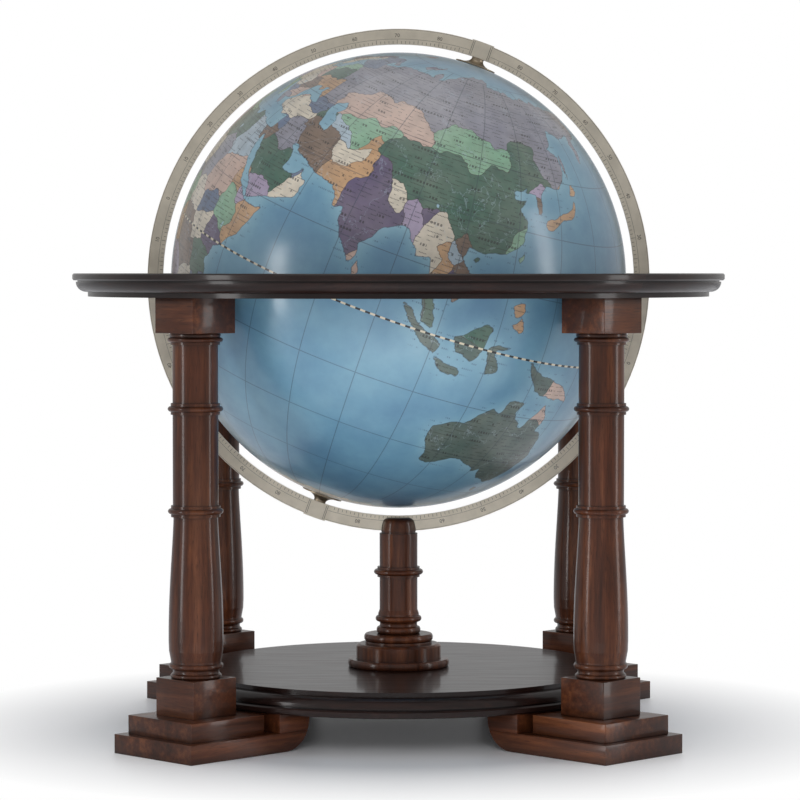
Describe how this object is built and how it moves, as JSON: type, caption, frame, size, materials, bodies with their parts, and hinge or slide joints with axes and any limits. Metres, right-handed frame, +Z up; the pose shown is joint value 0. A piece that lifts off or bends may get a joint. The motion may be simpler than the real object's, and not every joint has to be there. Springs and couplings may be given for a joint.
{
  "type": "desktop globe on stand",
  "caption": "World globe that spins in a tilting full meridian ring, held by a slotted pedestal and the notches of a wooden horizon ring on turned columns over a round shelf.",
  "frame": {"origin": "On the floor under the ball's centre, at the middle of the four feet.", "axes": "+Z up. +X is the side that the north pole leans to, in the plane of the meridian ring. -Y is the front that the picture looks at."},
  "size_m": [0.5719, 0.572, 0.6134],
  "materials": {
    "stained_wood": "red-brown stained hardwood under gloss lacquer, grain along each piece",
    "dark_wood": "near-black brown stained hardwood under gloss lacquer",
    "dowel_wood": "bare beech dowels, hidden inside the joints",
    "steel": "plain steel screws, bolt and pole pins",
    "felt": "thin wool felt lining",
    "ring_metal": "satin champagne-coloured metal with dark graduations",
    "bronze": "satin dark bronze",
    "map_ball": "printed political map in soft colours under clear gloss",
    "band": "plain joint band, hidden inside the ball"
  },
  "bodies": {
    "stand": {"front_left_foot_board": "stained_wood", "front_left_foot_step": "stained_wood", "front_left_shelf_bearer": "stained_wood", "front_left_plinth_block": "stained_wood", "front_left_column": "stained_wood", "front_left_cap_block": "stained_wood", "front_right_foot_board": "stained_wood", "front_right_foot_step": "stained_wood", "front_right_shelf_bearer": "stained_wood", "front_right_plinth_block": "stained_wood", "front_right_column": "stained_wood", "front_right_cap_block": "stained_wood", "back_left_foot_board": "stained_wood", "back_left_foot_step": "stained_wood", "back_left_shelf_bearer": "stained_wood", "back_left_plinth_block": "stained_wood", "back_left_column": "stained_wood", "back_left_cap_block": "stained_wood", "back_right_foot_board": "stained_wood", "back_right_foot_step": "stained_wood", "back_right_shelf_bearer": "stained_wood", "back_right_plinth_block": "stained_wood", "back_right_column": "stained_wood", "back_right_cap_block": "stained_wood", "pedestal_base": "stained_wood", "pedestal_stem": "stained_wood", "pedestal_head": "stained_wood", "shelf_board": "dark_wood", "shelf_panel": "dark_wood", "horizon_board": "dark_wood", "horizon_moulding": "dark_wood", "foot_screws": "steel", "shelf_screws": "steel", "pedestal_bolt": "steel", "column_dowels": "dowel_wood", "horizon_pegs": "dowel_wood", "pedestal_dowel": "dowel_wood", "slot_felt": "felt"},
    "meridian": {"meridian_ring": "ring_metal", "north_clasp": "bronze", "south_clasp": "bronze", "north_pin": "steel", "south_pin": "steel"},
    "ball": {"north_hemisphere": "map_ball", "south_hemisphere": "map_ball", "equator_band": "band", "north_bush": "bronze", "south_bush": "bronze", "north_cap": "bronze", "south_cap": "bronze"}
  },
  "joints": [
    {"name": "meridian_tilt", "type": "hinge", "parent": "stand", "child": "meridian", "pos_m": [0, 0, 0.3925], "axis": [0, 1, 0], "range_deg": [-12, 60]},
    {"name": "globe_spin", "type": "hinge", "parent": "meridian", "child": "ball", "pos_m": [0, 0, 0.3925], "axis": [0.3371, 0, 0.9415], "continuous": true}
  ]
}
